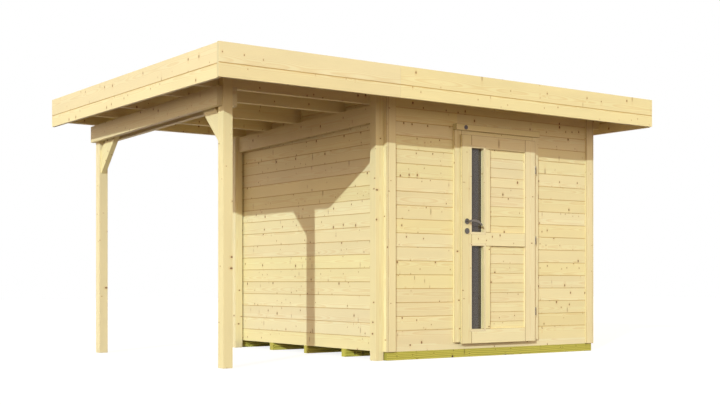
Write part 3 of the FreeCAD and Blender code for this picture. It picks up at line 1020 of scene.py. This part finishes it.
# %% Speckle group
def build_speckle_group():
    inputs = [("Colour", "Color", rgb(0.1, 0.1, 0.1)), ("Dust And Sheen", "Color", rgb(0.2, 0.2, 0.2)),
              ("Amount", "Float", 0.3), ("Scale", "Float", 40.0)]
    outputs = [("Color", "Color"), ("Roughness", "Float"), ("Height", "Float")]
    group, graph, given, result = new_group("fine speckle", inputs, outputs)
    place = graph.node("ShaderNodeTexCoord").outputs["Object"]
    fine = graph.noise(place, given["Scale"], 4.0, 0.6)
    broad = graph.noise(place, 2.3, 3.0)
    share = graph.math("MULTIPLY", graph.math("MULTIPLY", fine, broad), given["Amount"])
    graph.feed(result["Color"], graph.mix(share, given["Colour"], given["Dust And Sheen"]))
    graph.feed(result["Roughness"], graph.math("MULTIPLY_ADD", broad, 0.18, 0.28))
    graph.feed(result["Height"], fine)
    return group


speckle_group = build_speckle_group()
print("speckle group:", len(speckle_group.nodes), "nodes")

# %% Steel, membrane and disc
def speckled(name, colour, dust, amount, scale, metallic=0.0, roughness=None, relief=0.0003):
    """A finish from the speckle group. Without a roughness, the group gives that too."""
    material, graph, shader = material_with_shader(name)
    values = {"Colour": colour, "Dust And Sheen": dust, "Amount": amount, "Scale": scale}
    group = graph.node("ShaderNodeGroup", values, node_tree=speckle_group).outputs
    bump = graph.node("ShaderNodeBump", {"Height": group["Height"], "Strength": 0.4, "Distance": relief})
    graph.feed(shader["Base Color"], group["Color"])
    graph.feed(shader["Metallic"], metallic)
    graph.feed(shader["Roughness"], group["Roughness"] if roughness is None else roughness)
    graph.feed(shader["Normal"], bump.outputs[0])
    return material


def satin_steel(name, colour, dust, amount):
    return speckled(name, colour, dust, amount, scale=700.0, metallic=1.0, relief=0.0001)


steel = satin_steel("satin steel", rgb(0.14, 0.122, 0.107), rgb(0.32, 0.29, 0.26), 0.6)
# Painted highlight: the levers get a lighter copy of the steel, so they look as bright as highlights make
# them.
lit_lever_steel = satin_steel("lever steel with painted highlight", rgb(0.20, 0.175, 0.155), rgb(0.34, 0.31, 0.28), 0.6)
hinge_steel = satin_steel("hinge steel", rgb(0.20, 0.165, 0.12), rgb(0.30, 0.27, 0.22), 0.5)
membrane = speckled("roof membrane", rgb(0.035, 0.035, 0.037), rgb(0.16, 0.15, 0.14), 0.9, 55.0,
                    roughness=0.85)
disc = speckled("plain disc", rgb(0.115, 0.110, 0.150), rgb(0.25, 0.24, 0.28), 0.5, 300.0)
print("materials so far:", len(bpy.data.materials))

# %% [markdown]
# Glass
#
# The strips are grey-tinted panes. Painted grey they would look like slate, so they need real
# transmission, and the dark room shows behind them. A part of a warm grey is left on the surface as a
# painted reflection of the light that a tinted pane throws back, and lighter clouds over it are painted
# sheen. The pane keeps the frame's own solid.

# %% Tinted glass
GLASS_CLEAR = 0.78
GLASS_IOR = 1.5


def tinted_glass():
    material, graph, shader = material_with_shader("tinted glass")
    # Painted reflection: on the glass, the second colour lies in broad lighter clouds of painted sheen.
    values = {"Colour": rgb(0.26, 0.22, 0.20), "Dust And Sheen": rgb(0.33, 0.32, 0.30), "Amount": 0.7, "Scale": 1.2}
    group = graph.node("ShaderNodeGroup", values, node_tree=speckle_group).outputs
    graph.feed(shader["Base Color"], group["Color"])
    graph.feed(shader["Transmission Weight"], GLASS_CLEAR)
    graph.feed(shader["Roughness"], 0.0)
    graph.feed(shader["IOR"], GLASS_IOR)
    return material


glass = tinted_glass()
panes = frame["nodes"]["door_glass"]
for slot in panes.material_slots:
    slot.material = glass
if not panes.material_slots:
    panes.data.materials.append(glass)
print("glass panes:", len(fields_of("door_glass")))

# %% [markdown]
# Door fittings
#
# The fittings are turned and forged from steel: round plates with a rounded rim, a lever that arches and
# narrows to its tip, and hinges with round knuckles on screw-in pins. Blender's own cylinders have sharp
# rims and would need a bevel each. A turned piece is a profile spun round a line, and written as rings
# of points it has its rounded rims from the start.

# %% Turned forms
def oval(mesh, centre, up, height, across, width, count):
    """A ring of points round a centre, from two directions and the half sizes along them."""
    turns = [2 * math.pi * i / count for i in range(count)]
    return [mesh.verts.new(centre + up * (height * math.cos(t)) + across * (width * math.sin(t)))
            for t in turns]


def joined_rings(mesh, rings):
    """Skins neighbouring rings and closes both ends."""
    count = len(rings[0])
    for lower, upper in zip(rings, rings[1:]):
        for i in range(count):
            j = (i + 1) % count
            mesh.faces.new((lower[i], lower[j], upper[j], upper[i]))
    mesh.faces.new(rings[0])
    mesh.faces.new(rings[-1])


def turned(mesh, start, direction, profile, count=40):
    """Adds a form whose rings stand square to a line. A ring is (half height, half width, distance)."""
    up = Vector((1, 0, 0)) if abs(direction.z) > 0.5 else Vector((0, 0, 1))
    across = direction.cross(up)
    joined_rings(mesh, [oval(mesh, start + direction * distance, up, height, across, width, count)
                        for height, width, distance in profile])


def rounded(radius, length, rounding, steps=4):
    """The profile of a rod or plate with both rims rounded over."""
    arc = [math.radians(90 * i / steps) for i in range(steps + 1)]
    core = radius - rounding
    near = [(core + rounding * math.sin(a), rounding - rounding * math.cos(a)) for a in arc]
    far = [(core + rounding * math.cos(a), length - rounding + rounding * math.sin(a)) for a in arc]
    return [(r, r, distance) for r, distance in near + far]


# %% Fitting helpers
SMOOTH_BELOW = math.radians(40)


def fitting(name, mesh, material, body, slot, *nodes):
    """Makes a smooth-shaded object of a mesh, and lets it stand for its nodes."""
    bmesh.ops.recalc_face_normals(mesh, faces=mesh.faces)
    data = bpy.data.meshes.new(name)
    mesh.to_mesh(data)
    mesh.free()
    data.shade_smooth()
    data.set_sharp_from_angle(angle=SMOOTH_BELOW)
    data.materials.append(material)
    piece = bpy.data.objects.new(name, data)
    bpy.context.scene.collection.objects.link(piece)
    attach(piece, body)
    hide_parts(*nodes)
    print(name, len(data.polygons), "faces")


def boxes_of(node):
    """The lowest and highest corners of each separate solid of a node."""
    found = []
    for piece in islands(solid_of(node)):
        places = [[vertex.co[i] for vertex in piece.verts] for i in range(3)]
        found.append((Vector([min(row) for row in places]), Vector([max(row) for row in places])))
        piece.free()
    return found


# %% [markdown]
# Rosettes and lock plates
#
# A round plate lies under each lever, and one below it carries the key cylinder. The plates could be one
# copied object, but the frame already says where each of the four sits and which way it faces.
# So one profile is spun at each place, and the lower plates get a cylinder with a key slot sunk in it.

# %% Rosettes and lock cylinders
PLATE_THICKNESS = 0.008
PLATE_ROUNDING = 0.0025
CYLINDER_RADIUS = 0.0085
CYLINDER_ROUNDING = 0.0008
KEY_SLOT = (0.0036, 0.0008)
KEY_SLOT_DEPTH = 0.003
joint_places = {joint["name"]: Vector(joint["pos_m"]) for joint in frame["record"]["behaviour"]["joints"]}
handle_axis = joint_places["handle_turn"]


def rosettes():
    mesh = bmesh.new()
    for low, high in boxes_of("door_rosettes"):
        outside = high.y < (leaf_low.y + leaf_high.y) / 2
        outward = Vector((0, -1 if outside else 1, 0))
        middle = (low + high) / 2
        start = Vector((middle.x, high.y if outside else low.y, middle.z))
        radius = (high.x - low.x) / 2
        turned(mesh, start, outward, rounded(radius, PLATE_THICKNESS, PLATE_ROUNDING))
        if abs(middle.z - handle_axis.z) > radius:
            reach = high.y - low.y
            key_slot = [(*KEY_SLOT, reach), (*KEY_SLOT, reach - KEY_SLOT_DEPTH)]
            turned(mesh, start, outward, rounded(CYLINDER_RADIUS, reach, CYLINDER_ROUNDING) + key_slot)
    fitting("door_rosettes_turned", mesh, steel, "door", "grey_steel", "door_rosettes")


rosettes()

# %% [markdown]
# Levers
#
# A forged lever leaves its round neck, rises a little, arches over and thins out towards its tip. A curve
# object with a bevel would keep one thickness. So the lever is an oval carried along an arc through three
# points, and its height and depth change on the way. Ovals that shrink at both ends round it off.

# %% Levers
LEVER_BENDS = ((0.0, 0.0), (0.052, 0.008), (0.135, -0.032))
LEVER_HEIGHT = (0.0078, 0.0050)
LEVER_BELLY = 0.0036
LEVER_DEPTH = (0.0065, 0.0050)
LEVER_REACH = 0.050
NECK_RADIUS = 0.0088
NECK_ROUNDING = 0.001
ARC_STEPS = 28
END_STEPS = 6
LEVER_POINTS = 24


def arc_through(first, second, third, count):
    """Points and directions along the arc through three points of the plane."""
    (ax, ay), (bx, by), (cx, cy) = first, second, third
    turn = 2 * (ax * (by - cy) + bx * (cy - ay) + cx * (ay - by))
    squares = [ax * ax + ay * ay, bx * bx + by * by, cx * cx + cy * cy]
    x = (squares[0] * (by - cy) + squares[1] * (cy - ay) + squares[2] * (ay - by)) / turn
    y = (squares[0] * (cx - bx) + squares[1] * (ax - cx) + squares[2] * (bx - ax)) / turn
    radius = math.hypot(ax - x, ay - y)
    start, end = math.atan2(ay - y, ax - x), math.atan2(cy - y, cx - x)
    angles = [start + (end - start) * i / count for i in range(count + 1)]
    return [((x + radius * math.cos(a), y + radius * math.sin(a)), (math.sin(a), -math.cos(a)))
            for a in angles]


def lever_sections():
    """Each oval of the lever: its place and direction, its push ahead, its size and its share of the way."""
    path = arc_through(*LEVER_BENDS, ARC_STEPS)
    turns = [math.radians(90 * i / END_STEPS) for i in range(1, END_STEPS + 1)]
    start = [(path[0], -LEVER_HEIGHT[0] * math.cos(a), math.sin(a), 0.0) for a in turns]
    arc = [(place, 0.0, 1.0, i / ARC_STEPS) for i, place in enumerate(path)]
    tip = [(path[-1], LEVER_HEIGHT[1] * math.cos(a), math.sin(a), 1.0) for a in reversed(turns)]
    return start + arc + tip


def tapered(ends, share):
    return ends[0] + (ends[1] - ends[0]) * share


def lever(mesh, face_y, out):
    """An oval drawn along an arc, rounded at both ends, on a round neck."""
    neck_length = LEVER_REACH - LEVER_DEPTH[0]
    neck = rounded(NECK_RADIUS, neck_length, NECK_ROUNDING)
    turned(mesh, Vector((handle_axis.x, face_y, handle_axis.z)), Vector((0, out, 0)), neck)
    middle_y = face_y + out * neck_length
    rings = []
    for ((x, z), (dx, dz)), ahead, size, share in lever_sections():
        height = (tapered(LEVER_HEIGHT, share) + LEVER_BELLY * math.sin(math.pi * share)) * size
        depth = tapered(LEVER_DEPTH, share) * size
        centre = Vector((handle_axis.x + x + dx * ahead, middle_y, handle_axis.z + z + dz * ahead))
        rings.append(oval(mesh, centre, Vector((-dz, 0, dx)), height, AXES["y"], depth, LEVER_POINTS))
    joined_rings(mesh, rings)


def handle():
    mesh = bmesh.new()
    lever(mesh, leaf_low.y, -1)
    lever(mesh, leaf_high.y, 1)
    fitting("door_handle_forged", mesh, lit_lever_steel, "handle", "grey_steel", "door_handle")


handle()

# %% [markdown]
# Hinges
#
# A screw-in hinge is two knuckles on one pin, each on a short threaded arm. One arm is screwed into the
# edge of the leaf and the other into the casing, so half of each hinge turns with the door. The knuckles
# are spun round the joint's own axis, which keeps them in line while the door swings.

# %% Hinges
KNUCKLE_RADIUS = 0.007
KNUCKLE_ROUNDING = 0.0015
FRAME_KNUCKLE_HEIGHT = 0.035
ARM_RADIUS = 0.004
ARM_ROUNDING = 0.0005
hinge_axis = joint_places["door_swing"]


def hinges(node, body):
    on_leaf = body == "door"
    mesh = bmesh.new()
    for low, high in boxes_of(node):
        tall = high.z - low.z if on_leaf else FRAME_KNUCKLE_HEIGHT
        foot = Vector((hinge_axis.x, hinge_axis.y, low.z))
        turned(mesh, foot, AXES["z"], rounded(KNUCKLE_RADIUS, tall, KNUCKLE_ROUNDING), 32)
        start = foot + Vector((0, ARM_RADIUS if on_leaf else 0, tall / 2))
        direction = -AXES["x"] if on_leaf else AXES["y"]
        length = hinge_axis.x - low.x if on_leaf else high.y - hinge_axis.y
        turned(mesh, start, direction, rounded(ARM_RADIUS, length, ARM_ROUNDING), 20)
    fitting(f"{node}_turned", mesh, hinge_steel, body, "grey_steel", node)


hinges("door_hinges_leaf", "door")
hinges("door_hinges_frame", "house")

# %% [markdown]
# Disc on the door head
#
# A small plain disc sits on the board over the door. A flat cylinder would do from afar. A rim and a field
# that lies a little deeper give it the edge of light that a pressed disc has.

# %% Badge disc
DISC_ROUNDING = 0.0012
RIM_TOP = 0.88
RIM_FOOT = 0.84
FIELD_DEPTH = 0.0008


def badge():
    """A plain disc with a raised rim."""
    low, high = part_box("badge_disc")
    radius, thickness = (high.x - low.x) / 2, high.y - low.y
    field = [(radius * RIM_TOP, radius * RIM_TOP, thickness),
             (radius * RIM_FOOT, radius * RIM_FOOT, thickness - FIELD_DEPTH)]
    middle = (low + high) / 2
    mesh = bmesh.new()
    turned(mesh, Vector((middle.x, high.y, middle.z)), -AXES["y"],
           rounded(radius, thickness, DISC_ROUNDING) + field, 48)
    fitting("badge_disc_turned", mesh, disc, "house", "disc", "badge_disc")


badge()

# %% [markdown]
# Roof membrane
#
# The roof is sealed with sheets a metre wide that run along the roof, each one lapped over the sheet
# below it. The frame holds them as one thin layer. Cutting that layer at the laps and adding a thin strip
# over each cut gives the steps that catch the light on a real roof.

# %% Membrane sheets
SHEET_WIDTH = 1.0
LAP = 0.09
LAP_THICKNESS = 0.0025
LAP_EASED = 0.001


def membrane_sheets():
    low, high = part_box("roof_membrane")
    sheet = Timber("roof_membrane_sheets")
    solid = solid_of("roof_membrane")
    cuts = seams(low.y, SHEET_WIDTH, low.y, high.y)
    limits = [None] + cuts + [None]
    for start, end in zip(limits, limits[1:]):
        sheet.add(numbered(kept_between(solid, "y", start, end)), "x")
    for place in cuts:
        strip = kept_between(solid, "y", place - LAP / 2, place + LAP / 2)
        bmesh.ops.translate(strip, verts=strip.verts, vec=Vector((0, 0, LAP_THICKNESS)))
        ease_edges(strip, LAP_EASED)
        sheet.add(numbered(strip), "x")
    solid.free()
    sheet.finish(membrane, "house", "roof_membrane", "roof_membrane")


membrane_sheets()
